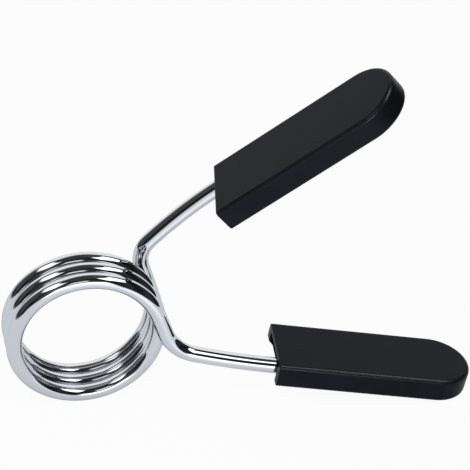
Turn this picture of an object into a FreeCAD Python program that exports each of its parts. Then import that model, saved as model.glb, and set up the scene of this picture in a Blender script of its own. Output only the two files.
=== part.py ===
import FreeCAD, Part
import math
import os

import Sketcher

# Spring clip collar for a 50 mm barbell sleeve.
#
# One round spring wire is wound into a close coil that grips the sleeve. Its two ends leave the
# coil at a tangent, cross beside it, bend outwards and end in a hairpin. A flat moulded sleeve is
# pushed over each hairpin as the grip. Squeezing the grips together unwinds the coil and opens it.
#
# Frame: the origin is the middle of the coil, +Y runs along its axis towards the rear end,
# +X points towards the grips and +Z is up, with the collar standing on its coil and on the tip
# of the lower grip. Lengths are in millimetres and angles in degrees.

doc = FreeCAD.newDocument("barbell_collar")
sheet = doc.addObject("Spreadsheet::Sheet", "Sizes")

SIZES = [
    # the wire and its coil
    ("wire_diameter", 6.0, "round spring wire"),
    ("wire_sides", 12, "narrow flats that stand for the round of the wire"),
    ("bore_diameter", 48.5, "free bore of the coil, a little less than the sleeve it grips"),
    ("turn_gap", 0.45, "clear gap between neighbouring turns"),
    ("whole_turns", 3, "turns before the ends are trimmed to their tangent points"),
    # the lower arm, on the front end of the coil
    ("lower_tangent_angle", 7.5, "where the wire leaves the coil, above the grips' middle line"),
    ("lower_run", 9.2, "straight wire from the coil to the bend"),
    ("lower_bend_radius", 15.4, "centreline radius of the bend"),
    ("lower_bend_angle", -26.4, "direction of the wire after the bend"),
    ("lower_bend_skew", 8.2, "that direction turned towards the coil's front end"),
    ("lower_reach", 31.8, "wire from the bend to the mouth of the grip"),
    ("lower_grip_angle", -21.2, "direction of the grip"),
    ("lower_grip_skew", 6.8, "grip turned towards the coil's front end"),
    ("lower_grip_roll", -1.0, "grip turned about its own length, rear edge up when positive"),
    # the upper arm, on the rear end of the coil
    ("upper_tangent_angle", 5.2, "where the wire leaves the coil, above the grips' middle line"),
    ("upper_run", 9.9, "straight wire from the coil to the bend"),
    ("upper_bend_radius", 11.8, "centreline radius of the bend"),
    ("upper_bend_angle", 33.8, "direction of the wire after the bend"),
    ("upper_bend_skew", 1.3, "that direction turned towards the coil's front end"),
    ("upper_reach", 35.6, "wire from the bend to the mouth of the grip"),
    ("upper_grip_angle", 29.6, "direction of the grip"),
    ("upper_grip_skew", 11.4, "grip turned towards the coil's front end"),
    ("upper_grip_roll", -3.4, "grip turned about its own length, rear edge up when positive"),
    # the hairpin inside each grip
    ("hairpin_spacing", 14.2, "between the two centrelines of the hairpin"),
    ("tail_setback", 24.0, "end of the wire behind the mouth of the grip"),
    # the moulded grips
    ("grip_length", 77.3, "from the mouth to the round tip"),
    ("face_wall", 1.7, "wall over and under the wire"),
    ("side_wall", 4.2, "wall beside the wire and at the tip"),
    ("seat_gap", 0.1, "clearance between the wire and the inside of the grip"),
    ("rim_radius", 1.6, "rounding along the rims of the two wide faces"),
    ("mouth_bevel", 3.5, "bevel on the underside of the mouth"),
    # one overrun serves every cut
    ("overrun", 2.0, "how far a cutting shape runs past what it cuts"),
]

# Limits and steps of the working out and of the checks, all of them free of units but the angles
LEAN_LIMIT = 45.0
LEAN_HALVINGS = 60
HALF_TURN = 180
TINY_SHARE = 1e-6
VOLUME_SHARE = 0.01
SAMPLE_SHARE = 1 / 3
APART_SHARE = 3


def fill_sheet():
    """Write one row for each driving dimension: its name, its value and what it measures."""
    for row, (alias, value, meaning) in enumerate(SIZES, start=1):
        sheet.set(f"A{row}", alias)
        sheet.set(f"B{row}", str(value))
        sheet.setAlias(f"B{row}", alias)
        sheet.set(f"C{row}", meaning)
    doc.recompute()


def size(alias):
    return float(sheet.get(alias))


def direction(angle, skew=0.0):
    """Unit vector at an angle above +X in the coil's plane, turned by a skew towards -Y."""
    a = math.radians(angle)
    k = math.radians(skew)
    return FreeCAD.Vector(math.cos(a) * math.cos(k), -math.sin(k), math.sin(a) * math.cos(k))


def unit(vector):
    return FreeCAD.Vector(vector).normalize()


class Route:
    """A wire's centreline, laid down as straight runs and tangent arcs."""

    def __init__(self, point, heading):
        self.point = point
        self.heading = unit(heading)
        self.edges = []

    def straight(self, length):
        end = self.point + self.heading * length
        self.edges.append(Part.LineSegment(self.point, end).toShape())
        self.point = end

    def arc(self, towards, radius, angle):
        """Turn by an angle towards a unit vector that is square to the heading."""
        centre = self.point + towards * radius

        def along(turned):
            return centre + (self.heading * math.sin(turned) - towards * math.cos(turned)) * radius

        middle = along(angle / 2)
        end = along(angle)
        self.edges.append(Part.Arc(self.point, middle, end).toShape())
        self.heading = unit(self.heading * math.cos(angle) + towards * math.sin(angle))
        self.point = end

    def bend(self, heading, radius):
        """Turn to a new heading round an arc of a radius."""
        angle = self.heading.getAngle(heading)
        towards = unit(heading - self.heading * self.heading.dot(heading))
        self.arc(towards, radius, angle)

    def ease(self, heading, length):
        """Turn to a new heading evenly over a length."""
        self.bend(heading, length / self.heading.getAngle(heading))


# The coil


def coil_radius():
    return (size("bore_diameter") + size("wire_diameter")) / 2


def coil_pitch():
    """Advance in one turn that leaves the turn gap clear, square to the wire."""
    step = size("wire_diameter") + size("turn_gap")
    circumference = 2 * math.pi * coil_radius()
    return step / math.sqrt(1 - (step / circumference) ** 2)


def coil_span():
    """Whole angle that the coil winds through, in degrees, from its front end to its rear end."""
    trimmed = size("lower_tangent_angle") - size("upper_tangent_angle")
    return 360 * size("whole_turns") - trimmed


def helix_point(wound, lean):
    """Point and heading on the coil's centreline after a wound angle from its front end."""
    a = math.radians(size("lower_tangent_angle") + lean + wound)
    radius = coil_radius()
    rise = coil_pitch() / 360
    point = FreeCAD.Vector(
        radius * math.cos(a), (wound - coil_span() / 2) * rise, radius * math.sin(a)
    )
    heading = FreeCAD.Vector(-math.sin(a), math.degrees(rise) / radius, math.cos(a))
    return point, unit(heading)


def biarc(start, start_heading, end, end_heading):
    """Two arcs that leave one point and reach another along given headings."""
    chord = end - start
    both = start_heading + end_heading
    bend = 2 * (1 - start_heading.dot(end_heading))
    handle = (math.sqrt(chord.dot(both) ** 2 + bend * chord.dot(chord)) - chord.dot(both)) / bend
    joint = (start + start_heading * handle + end - end_heading * handle) / 2

    def arc(near, far, corner):
        middle = (near + far) / 2
        half_chord = (far - near).Length / 2
        turn = (corner - near).getAngle(far - near)
        return Part.Arc(near, middle + unit(corner - middle) * half_chord * math.tan(turn / 2), far)

    return [
        arc(start, joint, start + start_heading * handle).toShape(),
        arc(joint, end, end - end_heading * handle).toShape(),
    ]


def coil_edges(lean):
    """The coil's centreline as biarcs of half a turn or less."""
    steps = math.ceil(coil_span() / HALF_TURN)
    edges = []
    for step in range(steps):
        start, start_heading = helix_point(coil_span() * step / steps, lean)
        end, end_heading = helix_point(coil_span() * (step + 1) / steps, lean)
        edges += biarc(start, start_heading, end, end_heading)
    return edges


# The arms, side is "lower" or "upper"


def arm_start(side, lean):
    """Where an arm leaves the coil, and its heading away from it."""
    if side == "lower":
        point, heading = helix_point(0, lean)
        return point, heading * -1
    return helix_point(coil_span(), lean)


def arm_to_mouth(side, lean):
    """The arm's route from the coil to the mouth of its grip."""
    route = Route(*arm_start(side, lean))
    route.straight(size(side + "_run"))
    after_bend = direction(size(side + "_bend_angle") + lean, size(side + "_bend_skew"))
    route.bend(after_bend, size(side + "_bend_radius"))
    into_grip = direction(size(side + "_grip_angle") + lean, size(side + "_grip_skew"))
    route.ease(into_grip, size(side + "_reach"))
    return route


def grip_axes(side, heading):
    """Along the grip, across it towards the rear, and out of its upper wide face."""
    along = unit(heading)
    axis = FreeCAD.Vector(0, 1, 0)
    level = unit(axis - along * along.dot(axis))
    across = FreeCAD.Rotation(along, size(side + "_grip_roll")).multVec(level)
    return along, across, along.cross(across)


def inward_side(side):
    """Sign of the way from the wire at the mouth to the middle of the grip."""
    return 1 if side == "lower" else -1


def grip_origin(side, route):
    across = grip_axes(side, route.heading)[1]
    return route.point + across * (inward_side(side) * size("hairpin_spacing") / 2)


def arm_route(side, lean):
    """The whole arm: coil to mouth, then the hairpin that the grip hides."""
    route = arm_to_mouth(side, lean)
    across = grip_axes(side, route.heading)[1]
    route.straight(hairpin_depth())
    turn_radius = size("hairpin_spacing") / 2
    route.arc(across * inward_side(side), turn_radius, math.pi)
    route.straight(hairpin_depth() - size("tail_setback"))
    return route


# Sizes of the grip that follow from the wire and the walls

CAVITY_WIDTH = "(Sizes.hairpin_spacing + Sizes.wire_diameter + 2 * Sizes.seat_gap)"
CAVITY_HEIGHT = "(Sizes.wire_diameter + 2 * Sizes.seat_gap)"
GRIP_WIDTH = f"({CAVITY_WIDTH} + 2 * Sizes.side_wall)"
GRIP_THICKNESS = f"({CAVITY_HEIGHT} + 2 * Sizes.face_wall)"
HAIRPIN_DEPTH = f"(Sizes.grip_length - {GRIP_WIDTH} / 2)"


def worked_out(expression):
    return float(sheet.evalExpression(expression))


def hairpin_depth():
    """From the mouth to the middle of the hairpin's turn and of the grip's round tip."""
    return worked_out(HAIRPIN_DEPTH)


def tip_drop(lean):
    """Depth of the lower grip's lowest point below the coil's axis."""
    route = arm_to_mouth("lower", lean)
    along, across, outwards = grip_axes("lower", route.heading)
    rim = size("rim_radius")
    middle = grip_origin("lower", route) + along * hairpin_depth()
    rim_middle = middle - outwards * (worked_out(GRIP_THICKNESS) / 2 - rim)
    rim_reach = (worked_out(GRIP_WIDTH) / 2 - rim) * math.sqrt(1 - outwards.z**2)
    return rim_reach + rim - rim_middle.z


def standing_lean():
    """Turn about the coil's axis that sets the coil and the lower grip's tip on one level."""
    coil_drop = coil_radius() + size("wire_diameter") / 2
    low = -LEAN_LIMIT
    high = LEAN_LIMIT
    for _ in range(LEAN_HALVINGS):
        lean = (low + high) / 2
        if tip_drop(lean) > coil_drop:
            low = lean
        else:
            high = lean
    return lean


# Objects of the document


def carried(side, edges):
    """A vector beside the wire's start, carried without twist to the wire's other end."""
    for edge in edges:
        before = edge.tangentAt(edge.FirstParameter)
        after = edge.tangentAt(edge.LastParameter)
        side = FreeCAD.Rotation(before, after).multVec(side)
    return side


def swept_wire(name, edges, side):
    """A wire along a centreline, as a sweep of its section, one corner of which points to a side."""
    path = doc.addObject("Part::Feature", name + "_path")
    path.Shape = Part.Wire(edges)
    first = edges[0]
    start = first.valueAt(first.FirstParameter)
    heading = first.tangentAt(first.FirstParameter)
    section = doc.addObject("Part::RegularPolygon", name + "_section")
    section.setExpression("Polygon", "Sizes.wire_sides")
    section.setExpression("Circumradius", "Sizes.wire_diameter / 2")
    turned = FreeCAD.Rotation(side, heading.cross(side), heading, "ZXY")
    section.Placement = FreeCAD.Placement(start, turned)
    sweep = doc.addObject("Part::Sweep", name)
    sweep.Sections = [section]
    sweep.Spine = (path, [f"Edge{i + 1}" for i in range(len(edges))])
    sweep.Solid = True
    sweep.Frenet = False
    sweep.Label = name
    doc.recompute()
    check_wire(sweep, path.Shape)
    return sweep


def check_wire(sweep, path):
    """Compare the swept volume with the section times the length."""
    corner_angle = 2 * math.pi / size("wire_sides")
    section = size("wire_sides") / 2 * (size("wire_diameter") / 2) ** 2 * math.sin(corner_angle)
    expected = section * path.Length
    share = sweep.Shape.Volume / expected
    print(f"{sweep.Label}: {path.Length:.1f} mm of wire, volume share {share:.4f}")
    if abs(share - 1) > VOLUME_SHARE:
        raise ValueError(sweep.Label + " is not a whole wire")


def origin_plane(body, role):
    return next(plane for plane in body.Origin.OriginFeatures if plane.Role == role)


def new_sketch(body, name, role):
    sketch = body.newObject("Sketcher::SketchObject", name)
    sketch.AttachmentSupport = (origin_plane(body, role), [""])
    sketch.MapMode = "FlatFace"
    return sketch


def bind(sketch, kind, *where, expression):
    """Add a sketch dimension and tie it to the sheet."""
    index = sketch.addConstraint(Sketcher.Constraint(kind, *where, worked_out(expression)))
    sketch.setExpression(f"Constraints[{index}]", expression)


def tongue_sketch(body, name, width, run_out=None):
    """A strip along +X with a square end and a full round tip round the hairpin's turn.

    The square end is at the mouth, or runs out past it by a length when one is given.
    """
    sketch = new_sketch(body, name, "XY_Plane")
    half = worked_out(width) / 2
    reach = hairpin_depth()
    back = -worked_out(run_out) if run_out else 0
    v = FreeCAD.Vector
    lower = sketch.addGeometry(Part.LineSegment(v(back, -half, 0), v(reach, -half, 0)))
    tip_circle = Part.Circle(v(reach, 0, 0), v(0, 0, 1), half)
    tip = sketch.addGeometry(Part.ArcOfCircle(tip_circle, -math.pi / 2, math.pi / 2))
    upper = sketch.addGeometry(Part.LineSegment(v(reach, half, 0), v(back, half, 0)))
    mouth = sketch.addGeometry(Part.LineSegment(v(back, half, 0), v(back, -half, 0)))
    for constraint in (
        ("Coincident", upper, 2, mouth, 1),
        ("Coincident", mouth, 2, lower, 1),
        ("Tangent", lower, 2, tip, 1),
        ("Tangent", tip, 2, upper, 1),
        ("Vertical", mouth),
        ("Horizontal", lower),
        ("PointOnObject", tip, 3, -1),
    ):
        sketch.addConstraint(Sketcher.Constraint(*constraint))
    if run_out:
        bind(sketch, "DistanceX", mouth, 1, -1, 1, expression=run_out)
    else:
        sketch.addConstraint(Sketcher.Constraint("PointOnObject", mouth, 1, -2))
    bind(sketch, "DistanceX", -1, 1, tip, 3, expression=HAIRPIN_DEPTH)
    bind(sketch, "DistanceY", mouth, 2, mouth, 1, expression=width)
    return sketch


def bevel_sketch(body):
    """A right triangle that takes the underside's corner off the mouth, seen from the side."""
    sketch = new_sketch(body, body.Name + "_bevel_sketch", "XZ_Plane")
    past = size("overrun")
    leg = size("mouth_bevel") + 2 * past
    low = -worked_out(GRIP_THICKNESS) / 2 - past
    corner = FreeCAD.Vector(-past, low, 0)
    right = FreeCAD.Vector(leg - past, low, 0)
    top = FreeCAD.Vector(-past, low + leg, 0)
    bottom = sketch.addGeometry(Part.LineSegment(corner, right))
    slope = sketch.addGeometry(Part.LineSegment(right, top))
    back = sketch.addGeometry(Part.LineSegment(top, corner))
    for constraint in (
        ("Coincident", bottom, 2, slope, 1),
        ("Coincident", slope, 2, back, 1),
        ("Coincident", back, 2, bottom, 1),
        ("Horizontal", bottom),
        ("Vertical", back),
    ):
        sketch.addConstraint(Sketcher.Constraint(*constraint))
    leg_length = "Sizes.mouth_bevel + 2 * Sizes.overrun"
    bind(sketch, "DistanceX", bottom, 1, -1, 1, expression="Sizes.overrun")
    bind(sketch, "DistanceY", bottom, 1, -1, 1, expression=f"{GRIP_THICKNESS} / 2 + Sizes.overrun")
    bind(sketch, "DistanceX", bottom, 1, bottom, 2, expression=leg_length)
    bind(sketch, "DistanceY", back, 2, back, 1, expression=leg_length)
    return sketch


def rim_edges(shape):
    """Names of the edges round the two wide faces, without those at the mouth."""
    names = []
    tiny = size("grip_length") * TINY_SHARE
    for index, edge in enumerate(shape.Edges, start=1):
        box = edge.BoundBox
        flat = box.ZLength < tiny
        at_mouth = box.XMax < tiny
        if flat and not at_mouth:
            names.append(f"Edge{index}")
    return names


def cut(body, feature, what):
    """Recompute a cutting feature and make sure that it took something away."""
    before = body.Shape.Volume
    doc.recompute()
    if body.Shape.Volume > before * (1 - TINY_SHARE):
        raise ValueError(f"{body.Name}: the {what} cuts nothing")


def make_grip(name, side, lean):
    """A flat moulded sleeve, closed at its round tip and open at its mouth."""
    body = doc.addObject("PartDesign::Body", name)
    body.Label = name
    pad = body.newObject("PartDesign::Pad", name + "_block")
    pad.Profile = tongue_sketch(body, name + "_outline", GRIP_WIDTH)
    pad.SideType = "Symmetric"
    pad.setExpression("Length", GRIP_THICKNESS)
    doc.recompute()
    rims = body.newObject("PartDesign::Fillet", name + "_rims")
    rims.Base = (pad, rim_edges(pad.Shape))
    rims.setExpression("Radius", "Sizes.rim_radius")
    cut(body, rims, "rim rounding")
    cavity = body.newObject("PartDesign::Pocket", name + "_cavity")
    cavity.Profile = tongue_sketch(body, name + "_cavity_sketch", CAVITY_WIDTH, "Sizes.overrun")
    cavity.SideType = "Symmetric"
    cavity.setExpression("Length", CAVITY_HEIGHT)
    cut(body, cavity, "cavity")
    bevel = body.newObject("PartDesign::Pocket", name + "_bevel")
    bevel.Profile = bevel_sketch(body)
    bevel.SideType = "Two sides"
    bevel.setExpression("Length", f"{GRIP_WIDTH} / 2 + Sizes.overrun")
    bevel.setExpression("Length2", f"{GRIP_WIDTH} / 2 - Sizes.side_wall")
    cut(body, bevel, "bevel")
    route = arm_to_mouth(side, lean)
    along, across, outwards = grip_axes(side, route.heading)
    origin = grip_origin(side, route)
    body.Placement = FreeCAD.Placement(
        FreeCAD.Matrix(
            along.x, across.x, outwards.x, origin.x,
            along.y, across.y, outwards.y, origin.y,
            along.z, across.z, outwards.z, origin.z,
        )
    )
    doc.recompute()
    return body


def least_gap(edges):
    """Least clear gap between stretches of wire that lie well apart along it."""
    step = size("wire_diameter") * SAMPLE_SHARE
    points = []
    places = []
    place = 0.0
    for edge in edges:
        count = max(2, math.ceil(edge.Length / step))
        for index, point in enumerate(edge.discretize(Number=count + 1)[:-1]):
            points.append(point)
            places.append(place + edge.Length * index / count)
        place += edge.Length
    apart = size("wire_diameter") * APART_SHARE
    nearest = math.inf
    for i, point in enumerate(points):
        for j in range(i + 1, len(points) - 1):
            if places[j] - places[i] < apart:
                continue
            start = points[j]
            run = points[j + 1] - start
            share = max(0.0, min(1.0, (point - start).dot(run) / run.dot(run)))
            nearest = min(nearest, (start + run * share - point).Length)
    return nearest - size("wire_diameter")


def backwards(edges):
    """The same centreline from its other end."""
    flipped = []
    for edge in reversed(edges):
        near, middle, far = edge.discretize(Number=3)
        if edge.Curve.TypeId == "Part::GeomCircle":
            curve = Part.Arc(far, middle, near)
        else:
            curve = Part.LineSegment(far, near)
        flipped.append(curve.toShape())
    return flipped


def check_document():
    for item in doc.Objects:
        if "Invalid" in item.State or "Error" in item.State:
            raise ValueError(f"{item.Name} failed: {item.State}")


def build():
    fill_sheet()
    lean = standing_lean()
    coil = coil_edges(lean)
    lower = arm_route("lower", lean).edges
    upper = arm_route("upper", lean).edges
    front = unit(direction(size("lower_tangent_angle") + lean))
    nodes = [
        swept_wire("spring_coil", coil, front),
        swept_wire("lower_arm_wire", lower, front),
        swept_wire("upper_arm_wire", upper, carried(front, coil)),
        make_grip("lower_grip", "lower", lean),
        make_grip("upper_grip", "upper", lean),
    ]
    print(f"lean {lean:.3f} degrees")
    print(f"least gap of the wire to itself {least_gap(backwards(lower) + coil + upper):.3f} mm")
    check_document()
    os.makedirs("parts", exist_ok=True)
    for node in nodes:
        shape = node.Shape
        if shape.isNull() or not shape.isValid():
            raise ValueError(node.Label + " has no valid shape")
        box = shape.BoundBox
        print(f"{node.Label}: volume {shape.Volume:.0f}, x {box.XMin:.1f} to {box.XMax:.1f}, "
              f"y {box.YMin:.1f} to {box.YMax:.1f}, z {box.ZMin:.1f} to {box.ZMax:.1f}")
        shape.exportStep(f"parts/{node.Label}.step")


build()
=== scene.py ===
import math

import bmesh
import bpy
from mathutils import Matrix, Quaternion, Vector


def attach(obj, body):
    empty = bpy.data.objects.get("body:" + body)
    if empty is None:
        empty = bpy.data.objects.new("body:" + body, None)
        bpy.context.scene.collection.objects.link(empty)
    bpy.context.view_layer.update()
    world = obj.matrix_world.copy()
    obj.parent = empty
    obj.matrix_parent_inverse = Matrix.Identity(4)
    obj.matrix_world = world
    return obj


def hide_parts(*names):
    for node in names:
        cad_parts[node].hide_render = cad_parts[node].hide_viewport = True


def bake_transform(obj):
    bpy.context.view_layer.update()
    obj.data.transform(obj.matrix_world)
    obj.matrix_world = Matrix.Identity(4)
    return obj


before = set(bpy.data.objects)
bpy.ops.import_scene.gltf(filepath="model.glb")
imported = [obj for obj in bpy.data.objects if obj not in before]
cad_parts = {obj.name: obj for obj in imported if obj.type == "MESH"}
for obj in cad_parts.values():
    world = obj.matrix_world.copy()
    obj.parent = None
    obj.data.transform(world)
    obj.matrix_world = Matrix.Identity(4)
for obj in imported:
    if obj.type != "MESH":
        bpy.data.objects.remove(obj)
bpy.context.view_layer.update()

# Sizes of the collar, in metres and degrees, by the same names as in the part's source

MM = 0.001
WIRE_DIAMETER = 6.0 * MM
BORE_DIAMETER = 48.5 * MM
TURN_GAP = 0.45 * MM
WHOLE_TURNS = 3

ARMS = {
    "lower": {
        "tangent_angle": 7.5,
        "run": 9.2 * MM,
        "bend_radius": 15.4 * MM,
        "bend_angle": -26.4,
        "bend_skew": 8.2,
        "reach": 31.8 * MM,
        "grip_angle": -21.2,
        "grip_skew": 6.8,
        "grip_roll": -1.0,
        "inward": 1,
    },
    "upper": {
        "tangent_angle": 5.2,
        "run": 9.9 * MM,
        "bend_radius": 11.8 * MM,
        "bend_angle": 33.8,
        "bend_skew": 1.3,
        "reach": 35.6 * MM,
        "grip_angle": 29.6,
        "grip_skew": 11.4,
        "grip_roll": -3.4,
        "inward": -1,
    },
}
# How far the collar is turned about the coil's axis, to stand on its coil and its lower grip
STANDING_LEAN = 13.030

HAIRPIN_SPACING = 14.2 * MM
TAIL_SETBACK = 24.0 * MM
GRIP_LENGTH = 77.3 * MM
FACE_WALL = 1.7 * MM
SIDE_WALL = 4.2 * MM
SEAT_GAP = 0.1 * MM
RIM_RADIUS = 1.6 * MM
MOUTH_BEVEL = 3.5 * MM
OVERRUN = 2.0 * MM

CAVITY_WIDTH = HAIRPIN_SPACING + WIRE_DIAMETER + 2 * SEAT_GAP
CAVITY_HEIGHT = WIRE_DIAMETER + 2 * SEAT_GAP
GRIP_WIDTH = CAVITY_WIDTH + 2 * SIDE_WALL
GRIP_THICKNESS = CAVITY_HEIGHT + 2 * FACE_WALL
HAIRPIN_DEPTH = GRIP_LENGTH - GRIP_WIDTH / 2

COIL_RADIUS = (BORE_DIAMETER + WIRE_DIAMETER) / 2
COIL_STEP = WIRE_DIAMETER + TURN_GAP
COIL_PITCH = COIL_STEP / math.sqrt(1 - (COIL_STEP / (2 * math.pi * COIL_RADIUS)) ** 2)
COIL_SPAN = 360 * WHOLE_TURNS - (ARMS["lower"]["tangent_angle"] - ARMS["upper"]["tangent_angle"])

# Softening that the solids don't have: the grip's corners at its mouth, and its sharp edges

MOUTH_RADIUS = 0.4 * MM
EDGE_ROUNDING = 0.25 * MM

# Fineness of the meshes

RING_SIDES = 48
COIL_STATIONS = 480
STATION_STEP = 0.8 * MM
TIP_STEPS = 48
RIM_STEPS = 8
CORNER_STEPS = 5
EDGE_SEGMENTS = 3

# Angles in degrees from which an edge counts as sharp: at the wire's ends, where the grip gets
# rounded, and in the grip's shading
WIRE_SHARP = 40
ROUNDED_FROM = 35
GRIP_SHARP = 50
# How strongly large faces keep the grip's shading flat
FACE_WEIGHT = 100

# The wire's centreline


def direction(angle, skew):
    """Unit vector at an angle above +X in the coil's plane, turned by a skew towards -Y."""
    a = math.radians(angle)
    k = math.radians(skew)
    return Vector((math.cos(a) * math.cos(k), -math.sin(k), math.sin(a) * math.cos(k)))


class Route:
    """A wire's centreline as close stations, each a point and a heading."""

    def __init__(self, point, heading):
        self.point = Vector(point)
        self.heading = Vector(heading).normalized()
        self.stations = [(self.point, self.heading)]

    def straight(self, length):
        """Go on in the same heading over a length."""
        start = self.point
        steps = max(1, math.ceil(length / STATION_STEP))
        for step in range(1, steps + 1):
            self.stations.append((start + self.heading * (length * step / steps), self.heading))
        self.point = self.stations[-1][0]

    def arc(self, towards, radius, angle):
        """Turn by an angle towards a unit vector that is square to the heading."""
        centre = self.point + towards * radius
        ahead = self.heading
        steps = max(2, math.ceil(radius * angle / STATION_STEP))
        for step in range(1, steps + 1):
            turned = angle * step / steps
            place = centre + (ahead * math.sin(turned) - towards * math.cos(turned)) * radius
            self.stations.append((place, ahead * math.cos(turned) + towards * math.sin(turned)))
        self.point, self.heading = self.stations[-1]

    def bend(self, heading, radius):
        """Turn to a new heading round an arc of a radius."""
        angle = self.heading.angle(heading)
        towards = (heading - self.heading * self.heading.dot(heading)).normalized()
        self.arc(towards, radius, angle)

    def ease(self, heading, length):
        """Turn to a new heading evenly over a length."""
        self.bend(heading, length / self.heading.angle(heading))


def helix_station(wound):
    """Point and heading on the coil's centreline after a wound angle from its front end."""
    a = math.radians(ARMS["lower"]["tangent_angle"] + STANDING_LEAN + wound)
    rise = COIL_PITCH / (2 * math.pi)
    along = math.radians(wound - COIL_SPAN / 2) * rise
    point = Vector((COIL_RADIUS * math.cos(a), along, COIL_RADIUS * math.sin(a)))
    heading = Vector((-math.sin(a), rise / COIL_RADIUS, math.cos(a)))
    return point, heading.normalized()


def coil_stations(first_share, last_share):
    """Stations along the coil between two shares of its wound angle."""
    count = round(COIL_STATIONS * (last_share - first_share))
    stations = []
    for index in range(count + 1):
        share = first_share + (last_share - first_share) * index / count
        stations.append(helix_station(COIL_SPAN * share))
    return stations


def arm_to_mouth(side):
    """The arm's route from the coil to the mouth of its grip."""
    arm = ARMS[side]
    if side == "lower":
        point, heading = helix_station(0)
        heading = -heading
    else:
        point, heading = helix_station(COIL_SPAN)
    route = Route(point, heading)
    route.straight(arm["run"])
    route.bend(direction(arm["bend_angle"] + STANDING_LEAN, arm["bend_skew"]), arm["bend_radius"])
    route.ease(direction(arm["grip_angle"] + STANDING_LEAN, arm["grip_skew"]), arm["reach"])
    return route


def grip_axes(side, heading):
    """Along the grip, across it towards the rear, and out of its upper wide face."""
    axis = Vector((0, 1, 0))
    level = (axis - heading * heading.dot(axis)).normalized()
    across = Quaternion(heading, math.radians(ARMS[side]["grip_roll"])) @ level
    return heading, across, heading.cross(across)


def arm_route(side):
    """The whole arm: coil to mouth, then the hairpin that the grip hides."""
    route = arm_to_mouth(side)
    across = grip_axes(side, route.heading)[1]
    route.straight(HAIRPIN_DEPTH)
    route.arc(across * ARMS[side]["inward"], HAIRPIN_SPACING / 2, math.pi)
    route.straight(HAIRPIN_DEPTH - TAIL_SETBACK)
    return route


def radial(station):
    """Unit vector from the coil's axis to a station."""
    point = station[0]
    return Vector((point.x, 0, point.z)).normalized()


# Meshes and objects


def add_object(name, data):
    """A new object in the scene."""
    thing = bpy.data.objects.new(name, data)
    bpy.context.scene.collection.objects.link(thing)
    return thing


def add_piece(name, mesh, material):
    """A visible piece of the collar, with its material."""
    piece = add_object(name, mesh)
    mesh.materials.append(material)
    return piece


def finished_mesh(name, bm):
    """The mesh that a bmesh has built."""
    mesh = bpy.data.meshes.new(name)
    bm.to_mesh(mesh)
    bm.free()
    return mesh


def wire_mesh(name, stations, across):
    """A round wire as rings along its stations, with flat ends.

    The first ring starts on the side that the unit vector across points to, and the others follow
    it without a twist. The UV layer runs along the wire and round it, both in metres.
    """
    bm = bmesh.new()
    uv = bm.loops.layers.uv.new("wire")
    radius = WIRE_DIAMETER / 2
    rings = []
    lengths = []
    length = 0.0
    last_point, last_heading = stations[0]
    for point, heading in stations:
        across = last_heading.rotation_difference(heading) @ across
        across = (across - heading * across.dot(heading)).normalized()
        length += (point - last_point).length
        last_point, last_heading = point, heading
        over = heading.cross(across)
        ring = []
        for corner in range(RING_SIDES):
            a = 2 * math.pi * corner / RING_SIDES
            ring.append(bm.verts.new(point + (across * math.cos(a) + over * math.sin(a)) * radius))
        rings.append(ring)
        lengths.append(length)
    girth = 2 * math.pi * radius
    for index in range(len(rings) - 1):
        near, far = rings[index], rings[index + 1]
        start, end = lengths[index], lengths[index + 1]
        for corner in range(RING_SIDES):
            after = (corner + 1) % RING_SIDES
            face = bm.faces.new((near[corner], near[after], far[after], far[corner]))
            face.smooth = True
            places = ((start, corner), (start, corner + 1), (end, corner + 1), (end, corner))
            for loop, (along, around) in zip(face.loops, places):
                loop[uv].uv = (along, girth * around / RING_SIDES)
    bm.faces.new(list(reversed(rings[0])))
    bm.faces.new(rings[-1])
    mesh = finished_mesh(name, bm)
    mesh.set_sharp_from_angle(angle=math.radians(WIRE_SHARP))
    return mesh


def layered_mesh(name, layers):
    """A closed mesh through layers, each an outline in the XY plane and its height."""
    bm = bmesh.new()
    rings = [[bm.verts.new((x, y, height)) for x, y in outline] for outline, height in layers]
    count = len(rings[0])
    for lower, upper in zip(rings, rings[1:]):
        for index in range(count):
            after = (index + 1) % count
            bm.faces.new((lower[index], lower[after], upper[after], upper[index]))
    bm.faces.new(list(reversed(rings[0])))
    bm.faces.new(rings[-1])
    return finished_mesh(name, bm)


def arc_points(x, y, radius, start, turn, steps):
    """Points on an arc round (x, y), from a start angle through a turn."""
    points = []
    for step in range(steps + 1):
        a = start + turn * step / steps
        points.append((x + radius * math.cos(a), y + radius * math.sin(a)))
    return points


def grip_outline(side_inset, mouth_inset):
    """The grip's outline seen from its wide face: round tip, square mouth with softened corners."""
    quarter = math.pi / 2
    half = GRIP_WIDTH / 2 - side_inset
    x = mouth_inset + MOUTH_RADIUS
    y = half - MOUTH_RADIUS
    return (
        arc_points(x, -y, MOUTH_RADIUS, math.pi, quarter, CORNER_STEPS)
        + arc_points(HAIRPIN_DEPTH, 0.0, half, -quarter, math.pi, TIP_STEPS)
        + arc_points(x, y, MOUTH_RADIUS, quarter, quarter, CORNER_STEPS)
    )


def grip_levels():
    """Heights through the grip's thickness, each with its insets at the sides and at the mouth."""
    half = GRIP_THICKNESS / 2
    levels = []
    for step in range(RIM_STEPS + 1):
        a = math.pi / 2 * step / RIM_STEPS
        height = half - RIM_RADIUS + RIM_RADIUS * math.sin(a)
        above = max(0.0, height - (half - MOUTH_RADIUS))
        mouth_inset = MOUTH_RADIUS - math.sqrt(max(0.0, MOUTH_RADIUS**2 - above**2))
        levels.append((height, RIM_RADIUS * (1 - math.cos(a)), mouth_inset))
    below = [(-height, side_inset, mouth_inset) for height, side_inset, mouth_inset in levels]
    return below[::-1] + levels


def grip_mesh(name):
    """The grip's outside, closed, with rounded rims and a softened mouth."""
    layers = []
    for height, side_inset, mouth_inset in grip_levels():
        layers.append((grip_outline(side_inset, mouth_inset), height))
    return layered_mesh(name, layers)


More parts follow.
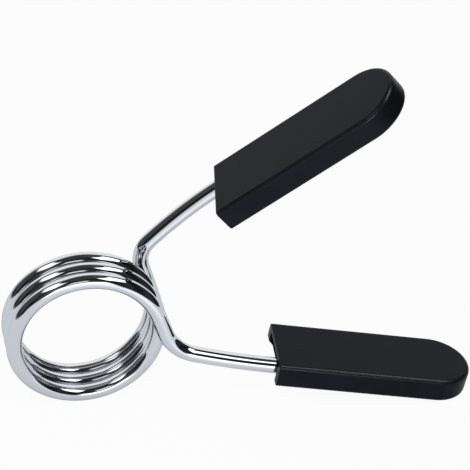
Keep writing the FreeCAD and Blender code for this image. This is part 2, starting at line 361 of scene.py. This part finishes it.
def prism(name, outline, low, high):
    """A closed prism over an outline in the XY plane, to cut with."""
    return add_object(name, layered_mesh(name, [(outline, low), (outline, high)]))


def cavity_cutter(name):
    """The hollow that holds the hairpin, run out past the mouth."""
    half = CAVITY_WIDTH / 2
    tip = arc_points(HAIRPIN_DEPTH, 0.0, half, -math.pi / 2, math.pi, TIP_STEPS)
    outline = [(-OVERRUN, -half), *tip, (-OVERRUN, half)]
    return prism(name, outline, -CAVITY_HEIGHT / 2, CAVITY_HEIGHT / 2)


def bevel_cutter(name):
    """A triangular prism across the underside of the mouth, clear of the front wall."""
    low = -GRIP_THICKNESS / 2 - OVERRUN
    leg = MOUTH_BEVEL + 2 * OVERRUN
    outline = [(-OVERRUN, low), (leg - OVERRUN, low), (-OVERRUN, low + leg)]
    cutter = prism(name, outline, -(GRIP_WIDTH / 2 + OVERRUN), GRIP_WIDTH / 2 - SIDE_WALL)
    cutter.data.transform(Matrix.Rotation(math.pi / 2, 4, "X"))
    return cutter


def apply_modifier(piece, modifier):
    """Replace the piece's mesh by its shape with the modifier on."""
    depsgraph = bpy.context.evaluated_depsgraph_get()
    depsgraph.update()
    shaped = bpy.data.meshes.new_from_object(piece.evaluated_get(depsgraph), depsgraph=depsgraph)
    piece.modifiers.remove(modifier)
    old = piece.data
    name = old.name
    piece.data = shaped
    bpy.data.meshes.remove(old)
    shaped.name = name


def cut_away(piece, cutter):
    """Take the cutter's shape out of the piece and drop the cutter."""
    modifier = piece.modifiers.new("cut", "BOOLEAN")
    modifier.operation = "DIFFERENCE"
    modifier.solver = "EXACT"
    modifier.object = cutter
    apply_modifier(piece, modifier)
    bpy.data.meshes.remove(cutter.data)


def mark_rims(mesh):
    """Mark how far each vertex is turned between the wide faces and the sides, from 0 to 1."""
    rims = mesh.attributes.new("rim", "FLOAT", "POINT")
    for vertex, rim in zip(mesh.vertices, rims.data):
        upright = vertex.normal.z**2
        rim.value = 4 * upright * (1 - upright)


def soften(piece):
    """Round the sharp edges a little and keep the flat faces flat in their shading."""
    bevel = piece.modifiers.new("soften", "BEVEL")
    bevel.width = EDGE_ROUNDING
    bevel.segments = EDGE_SEGMENTS
    bevel.limit_method = "ANGLE"
    bevel.angle_limit = math.radians(ROUNDED_FROM)
    apply_modifier(piece, bevel)
    for polygon in piece.data.polygons:
        polygon.use_smooth = True
    mark_rims(piece.data)
    piece.data.set_sharp_from_angle(angle=math.radians(GRIP_SHARP))
    weighted = piece.modifiers.new("flat_faces", "WEIGHTED_NORMAL")
    weighted.keep_sharp = True
    weighted.weight = FACE_WEIGHT
    apply_modifier(piece, weighted)


# Nodes of the materials and of the world


def add_node(tree, kind, **values):
    """A node with values for its properties or, where it has none of that name, its sockets."""
    node = tree.nodes.new(kind)
    for key, value in values.items():
        if hasattr(node, key):
            setattr(node, key, value)
        else:
            node.inputs[key].default_value = value
    return node


def math_node(tree, operation, *values):
    """A Math node whose inputs are numbers or other nodes' outputs."""
    node = add_node(tree, "ShaderNodeMath", operation=operation)
    for socket, value in zip(node.inputs, values):
        if isinstance(value, bpy.types.NodeSocket):
            tree.links.new(value, socket)
        else:
            socket.default_value = value
    return node.outputs[0]


def noise_node(tree, place, **values):
    """Noise over the places that a coordinate gives."""
    node = add_node(tree, "ShaderNodeTexNoise", **values)
    tree.links.new(place, node.inputs["Vector"])
    return node.outputs["Fac"]


def range_node(tree, value, span, new_span, interpolation_type="LINEAR"):
    """A value taken from one span to another and held at its ends."""
    node = add_node(tree, "ShaderNodeMapRange", interpolation_type=interpolation_type)
    node.inputs["From Min"].default_value, node.inputs["From Max"].default_value = span
    node.inputs["To Min"].default_value, node.inputs["To Max"].default_value = new_span
    tree.links.new(value, node.inputs["Value"])
    return node.outputs["Result"]


def ramp_node(tree, value, *stops):
    """A colour between two stops, each a position and a colour."""
    node = add_node(tree, "ShaderNodeValToRGB")
    for element, (position, colour) in zip(node.color_ramp.elements, stops):
        element.position = position
        element.color = colour
    tree.links.new(value, node.inputs["Fac"])
    return node.outputs["Color"]


def bump_node(tree, height, below=None, **values):
    """A bump from heights, on top of the bump below it if there is one."""
    node = add_node(tree, "ShaderNodeBump", **values)
    tree.links.new(height, node.inputs["Height"])
    if below is not None:
        tree.links.new(below, node.inputs["Normal"])
    return node.outputs["Normal"]


def mix_node(tree, share, first, second):
    """The first shader where the share is 0 and the second where it is 1."""
    node = add_node(tree, "ShaderNodeMixShader")
    for value, socket in zip((share, first, second), node.inputs):
        tree.links.new(value, socket)
    return node.outputs[0]


def ray_share(tree, *kinds):
    """1 for rays of any of the kinds, such as Is Camera Ray, and 0 for the rest."""
    path = add_node(tree, "ShaderNodeLightPath")
    total = path.outputs[kinds[0]]
    for kind in kinds[1:]:
        total = math_node(tree, "MAXIMUM", total, path.outputs[kind])
    return total


# Materials. Each colour and roughness varies between two values, as noise over it does.

CHROME_DARK = (0.556, 0.568, 0.586, 1)
CHROME_LIGHT = (0.598, 0.608, 0.624, 1)
CHROME_ROUGHNESS = (0.02, 0.06)
# How much of the usual gain at a grazing angle chromium keeps
CHROME_EDGE = (0.80, 0.82, 0.85, 1.0)

PLASTIC_DARK = (0.0046, 0.0048, 0.0066, 1)
PLASTIC_LIGHT = (0.0070, 0.0073, 0.0098, 1)
PLASTIC_ROUGHNESS = (0.34, 0.42)
# The plastic's sheen is weak and slightly cool
PLASTIC_SHEEN = 0.05
PLASTIC_SHEEN_TINT = (0.95, 1.0, 1.18, 1.0)
# Hands rub the rims smoother and glossier than the faces
RUBBED_COAT = 0.1
RUBBED_ROUGHNESS = 0.15

# The part of a noise's values that most of a surface has
NOISE_SPAN = (0.3, 0.75)


def new_material(name):
    """A material with its node tree and its shader."""
    material = bpy.data.materials.new(name)
    material.use_nodes = True
    return material, material.node_tree, material.node_tree.nodes["Principled BSDF"]


def chrome_material():
    """Bright plate over drawn wire: fine lines along the wire and a faint haze that varies."""
    material, tree, shader = new_material("chrome_plate")
    links = tree.links
    place = add_node(tree, "ShaderNodeTexCoord")
    shader.inputs["Metallic"].default_value = 1.0
    shader.inputs["Specular Tint"].default_value = CHROME_EDGE
    # haze and tint, slow over the surface
    haze = noise_node(tree, place.outputs["Object"], Scale=90.0, Detail=4.0, Roughness=0.6)
    rough = range_node(tree, haze, NOISE_SPAN, CHROME_ROUGHNESS)
    links.new(rough, shader.inputs["Roughness"])
    tint = ramp_node(tree, haze, (0.3, CHROME_DARK), (0.7, CHROME_LIGHT))
    links.new(tint, shader.inputs["Base Color"])
    # lines along the wire from drawing it, and shallow dents from winding it
    stretch = add_node(tree, "ShaderNodeMapping", Scale=(60.0, 1800.0, 1.0))
    links.new(place.outputs["UV"], stretch.inputs["Vector"])
    lines = noise_node(tree, stretch.outputs["Vector"], Scale=1.0, Detail=3.0)
    dents = noise_node(tree, place.outputs["Object"], Scale=180.0, Detail=1.0)
    drawn = bump_node(tree, lines, Strength=0.08, Distance=0.00001)
    wound = bump_node(tree, dents, drawn, Strength=0.05, Distance=0.00003)
    links.new(wound, shader.inputs["Normal"])
    return material


def plastic_material():
    """Satin black moulding: fine grain, slow waves of the mould and a little bloom."""
    material, tree, shader = new_material("black_moulding")
    links = tree.links
    place = add_node(tree, "ShaderNodeTexCoord").outputs["Object"]
    # the sheen, and the rubbed rims
    shader.inputs["Specular IOR Level"].default_value = PLASTIC_SHEEN
    shader.inputs["Specular Tint"].default_value = PLASTIC_SHEEN_TINT
    shader.inputs["Coat Roughness"].default_value = RUBBED_ROUGHNESS
    rim = add_node(tree, "ShaderNodeAttribute", attribute_name="rim").outputs["Fac"]
    links.new(math_node(tree, "MULTIPLY", rim, RUBBED_COAT), shader.inputs["Coat Weight"])
    # bloom in the colour and in the roughness
    bloom = noise_node(tree, place, Scale=70.0, Detail=5.0, Roughness=0.55)
    tint = ramp_node(tree, bloom, (0.32, PLASTIC_DARK), (0.72, PLASTIC_LIGHT))
    links.new(tint, shader.inputs["Base Color"])
    rough = range_node(tree, bloom, NOISE_SPAN, PLASTIC_ROUGHNESS)
    links.new(rough, shader.inputs["Roughness"])
    # the mould's grain, and slow waves over it
    grain = noise_node(tree, place, Scale=3200.0, Detail=2.0)
    waves = noise_node(tree, place, Scale=55.0, Detail=1.0)
    grained = bump_node(tree, grain, Strength=0.35, Distance=0.00003)
    waved = bump_node(tree, waves, grained, Strength=0.30, Distance=0.0003)
    links.new(waved, shader.inputs["Normal"])
    return material


# The collar's pieces


def make_coil(material):
    """The coil as two halves, each baked in place."""
    coil_end = Vector((0, COIL_PITCH * COIL_SPAN / 360 / 2, 0))
    for half, stations, arm, end in (
        ("front", coil_stations(0, 0.5), "lower_arm", -coil_end),
        ("rear", coil_stations(0.5, 1), "upper_arm", coil_end),
    ):
        name = "coil_" + half + "_half"
        mesh = wire_mesh(name, stations, radial(stations[0]))
        piece = add_piece(name, mesh, material)
        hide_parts("spring_coil")
        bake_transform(piece)


def make_leg(side, material):
    """A leg with the hairpin at its end."""
    name = side + "_leg"
    route = arm_route(side)
    mesh = wire_mesh(name, route.stations, radial(route.stations[0]))
    piece = add_piece(name, mesh, material)
    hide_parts(side + "_arm_wire")
    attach(piece, side + "_arm")


def make_grip(side, material):
    """A grip, built lying flat at the origin and then set on its arm."""
    name = side + "_grip_moulding"
    piece = add_piece(name, grip_mesh(name), material)
    cut_away(piece, cavity_cutter(name + "_cavity"))
    cut_away(piece, bevel_cutter(name + "_bevel"))
    soften(piece)
    route = arm_to_mouth(side)
    along, across, outwards = grip_axes(side, route.heading)
    place = Matrix((along, across, outwards)).transposed().to_4x4()
    place.translation = route.point + across * (ARMS[side]["inward"] * HAIRPIN_SPACING / 2)
    piece.data.transform(place)
    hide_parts(side + "_grip")
    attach(piece, side + "_arm")
    return piece


# The floor: a pale square sheet, in metres

WHITE = (1.0, 1.0, 1.0, 1.0)
COLLAR_MIDDLE = Vector((0.06, 0.0, 0.03))
FLOOR_LEVEL = -(COIL_RADIUS + WIRE_DIAMETER / 2)
FLOOR_SIZE = 0.95
FLOOR_COLOUR = (0.92, 0.92, 0.92, 1)
# How much of the sheet's look is its own white glow, and that glow's colour in metal
GLOW_SHARE = 0.94
SHEET_IN_METAL = (0.962, 1.0, 1.060, 1.0)
# The front panel's spill on the sheet, seen in metal alone: its place, the distances from there at
# which it is full and gone, and its gain
SPILL_PLACE = (0.055, -0.165, FLOOR_LEVEL)
SPILL_REACH = (0.03, 0.135)
SPILL_GAIN = 0.65
# The shade close under the collar, seen in metal alone: its reach and the light left in it
COVER_REACH = 0.03
COVERED_SHARE = 0.45


def sheet_strength(tree, polished):
    """How bright the sheet glows: 1, and to polished surfaces more or less by the place on it."""
    spot = add_node(tree, "ShaderNodeVectorMath", operation="DISTANCE")
    tree.links.new(add_node(tree, "ShaderNodeTexCoord").outputs["Object"], spot.inputs[0])
    spot.inputs[1].default_value = SPILL_PLACE
    spill = range_node(
        tree, spot.outputs["Value"], SPILL_REACH, (SPILL_GAIN, 0.0), interpolation_type="SMOOTHSTEP"
    )
    cover = add_node(tree, "ShaderNodeAmbientOcclusion", samples=8, Distance=COVER_REACH)
    open_share = range_node(tree, cover.outputs["AO"], (0.0, 1.0), (COVERED_SHARE, 1.0))
    lit = math_node(tree, "ADD", spill, 1.0)
    lit = math_node(tree, "MULTIPLY", lit, open_share)
    gain = math_node(tree, "SUBTRACT", lit, 1.0)
    return math_node(tree, "MULTIPLY_ADD", polished, gain, 1.0)


def sheet_material():
    """Matt and pale, and glowing white so that little but the soft shadow shows on it."""
    material = bpy.data.materials.new("floor_sheet")
    material.use_nodes = True
    tree = material.node_tree
    tree.nodes.clear()
    matte = add_node(tree, "ShaderNodeBsdfDiffuse", Color=FLOOR_COLOUR)
    glow = add_node(tree, "ShaderNodeEmission")
    polished = ray_share(tree, "Is Glossy Ray", "Is Transmission Ray")
    cast = ramp_node(tree, polished, (0.0, WHITE), (1.0, SHEET_IN_METAL))
    tree.links.new(cast, glow.inputs["Color"])
    tree.links.new(sheet_strength(tree, polished), glow.inputs["Strength"])
    shown = ray_share(tree, "Is Camera Ray", "Is Glossy Ray", "Is Transmission Ray")
    share = math_node(tree, "MULTIPLY", shown, GLOW_SHARE)
    output = add_node(tree, "ShaderNodeOutputMaterial")
    surface = mix_node(tree, share, matte.outputs[0], glow.outputs[0])
    tree.links.new(surface, output.inputs["Surface"])
    return material


def make_floor():
    """A pale sheet under the collar."""
    middle = Vector((COLLAR_MIDDLE.x, COLLAR_MIDDLE.y, FLOOR_LEVEL))
    half = FLOOR_SIZE / 2
    bm = bmesh.new()
    corners = []
    for x, y in ((-1, -1), (1, -1), (1, 1), (-1, 1)):
        corners.append(bm.verts.new(middle + Vector((x * half, y * half, 0))))
    bm.faces.new(corners)
    mesh = finished_mesh("floor", bm)
    floor = add_object("floor", mesh)
    mesh.materials.append(sheet_material())


# Soft panels round the collar, as the metal shows them: middle azimuth, half width, lowest and
# highest elevation, softness of the edges, all in degrees, and brightness. Azimuth 0 is +X, and
# 90 is +Y.

PANELS = (
    (-93, 19, -40, 16, 6, 2.6),  # front
    (-124, 14, -40, 1, 10, 1.0),  # front, low
    (-97, 10, 26, 40, 6, 1.2),  # front, high
    (-25, 36, 42, 64, 5, 2.8),  # overhead
    (82, 44, -30, 53, 10, 1.25),  # back
    (132, 12, -30, 46, 14, 0.3),  # back, left
    (90, 46, 52, 62, 10, 0.4),  # back, high
    (-170, 36, 40, 60, 8, 2.2),  # left, high
    (170, 26, 2, 40, 24, 0.05),  # left, dim
    (-176, 34, -40, -7, 12, 1.3),  # left, low
    (-118, 12, -12, 34, 16, 0.08),  # front, faint edge
    (0, 180, 66, 90, 14, 0.05),  # ceiling
)
# The dim room behind them varies a little, from the first colour to the second
ROOM_DARK = (0.002, 0.003, 0.005, 1.0)
ROOM_LIGHT = (0.044, 0.046, 0.052, 1.0)
# The world's light on matt surfaces
EVEN_LIGHT = 0.30


def panel_share(tree, azimuth, elevation, panel):
    """1 inside a soft-edged panel and 0 outside."""
    middle, half_width, low, high, soft = panel
    turned = math_node(tree, "SUBTRACT", azimuth, math.radians(middle))
    off = math_node(tree, "ABSOLUTE", math_node(tree, "WRAP", turned, math.pi, -math.pi))
    depth = math_node(tree, "MULTIPLY", elevation, -1.0)
    share = None
    for value, edge in ((off, half_width), (elevation, high), (depth, -low)):
        span = (math.radians(edge - soft / 2), math.radians(edge + soft / 2))
        inside = range_node(tree, value, span, (1.0, 0.0), interpolation_type="SMOOTHSTEP")
        share = inside if share is None else math_node(tree, "MULTIPLY", share, inside)
    return share


def room_colour(tree):
    """The panels in their dim room."""
    place = add_node(tree, "ShaderNodeTexCoord").outputs["Generated"]
    split = add_node(tree, "ShaderNodeSeparateXYZ")
    tree.links.new(place, split.inputs[0])
    x, y, z = split.outputs
    azimuth = math_node(tree, "ARCTAN2", y, x)
    elevation = math_node(tree, "ARCSINE", z)
    total = 0.0
    for *panel, brightness in PANELS:
        share = panel_share(tree, azimuth, elevation, panel)
        total = math_node(tree, "ADD", math_node(tree, "MULTIPLY", share, brightness), total)
    drift = noise_node(tree, place, Scale=2.6, Detail=1.0)
    dim = ramp_node(tree, drift, (0.36, ROOM_DARK), (0.66, ROOM_LIGHT))
    seen = add_node(tree, "ShaderNodeVectorMath", operation="ADD")
    tree.links.new(dim, seen.inputs[0])
    tree.links.new(total, seen.inputs[1])
    return seen.outputs["Vector"]


def make_world():
    """White to the camera, even light to matt surfaces, and the room to polished ones."""
    world = bpy.data.worlds.new("studio")
    bpy.context.scene.world = world
    world.use_nodes = True
    tree = world.node_tree
    tree.nodes.clear()
    room = add_node(tree, "ShaderNodeBackground", Strength=1.0)
    tree.links.new(room_colour(tree), room.inputs["Color"])
    even = add_node(tree, "ShaderNodeBackground", Color=WHITE, Strength=EVEN_LIGHT)
    plain = add_node(tree, "ShaderNodeBackground", Color=WHITE, Strength=1.0)
    polished = ray_share(tree, "Is Glossy Ray", "Is Transmission Ray")
    around = mix_node(tree, polished, even.outputs[0], room.outputs[0])
    surface = mix_node(tree, ray_share(tree, "Is Camera Ray"), around, plain.outputs[0])
    output = add_node(tree, "ShaderNodeOutputWorld")
    tree.links.new(surface, output.inputs["Surface"])


# Lamps: azimuth and elevation in degrees, distance and size in metres, and power in watts. Polished
# surfaces show the panels instead of the first two. The softboxes light no colour: they show in the
# grips' sheen alone.

LAMPS = {
    "key": (-112, 52, 0.8, 0.45, 2.5),
    "front": (-130, 8, 0.9, 0.5, 5.5),
}
SOFTBOXES = {
    "softbox_high": (-15, 62, 0.6, 0.3, 3.7),
    "softbox_front": (-90, 14, 0.6, 0.3, 3.0),
}


def make_lamp(name, azimuth, elevation, distance, size, power):
    """A square soft lamp that looks at the collar and is itself not seen."""
    a = math.radians(azimuth)
    e = math.radians(elevation)
    away = Vector((math.cos(a) * math.cos(e), math.sin(a) * math.cos(e), math.sin(e)))
    data = bpy.data.lights.new(name, "AREA")
    data.shape = "SQUARE"
    data.size = size
    data.energy = power
    lamp = add_object(name, data)
    lamp.location = away * distance + COLLAR_MIDDLE
    lamp.rotation_euler = away.to_track_quat("Z", "Y").to_euler()
    lamp.visible_glossy = False
    lamp.visible_camera = False
    return lamp


def make_lamps(grips):
    """The lamps, and the softboxes that show in the grips alone."""
    for name, values in LAMPS.items():
        make_lamp(name, *values)
    receivers = bpy.data.collections.new("grips")
    for grip in grips:
        receivers.objects.link(grip)
    for name, values in SOFTBOXES.items():
        softbox = make_lamp(name, *values)
        softbox.visible_glossy = True
        softbox.visible_diffuse = False
        softbox.light_linking.receiver_collection = receivers


# The camera, from the fit to the photograph: where it is, what is to its right, what is behind it
# and how long its lens is

CAMERA_PLACE = Vector((-94.92, -537.09, 422.13)) * MM
CAMERA_RIGHT = Vector((0.9720, -0.2264, 0.0627))
CAMERA_BACK = Vector((-0.2212, -0.7920, 0.5691))
CAMERA_SENSOR = 36.0
CAMERA_LENS = 141.6


def make_camera():
    """The camera at the photograph's angle."""
    data = bpy.data.cameras.new("camera")
    data.sensor_width = CAMERA_SENSOR
    data.lens = CAMERA_LENS
    camera = add_object("camera", data)
    right = CAMERA_RIGHT.normalized()
    back = (CAMERA_BACK - right * CAMERA_BACK.dot(right)).normalized()
    place = Matrix((right, back.cross(right), back)).transposed().to_4x4()
    place.translation = CAMERA_PLACE
    camera.matrix_world = place
    bpy.context.scene.camera = camera


# The scene

chrome = chrome_material()
plastic = plastic_material()
make_coil(chrome)
grips = []
for side in ARMS:
    make_leg(side, chrome)
    grips.append(make_grip(side, plastic))

make_camera()
make_floor()
make_world()
make_lamps(grips)
bpy.context.scene.view_settings.view_transform = "Standard"
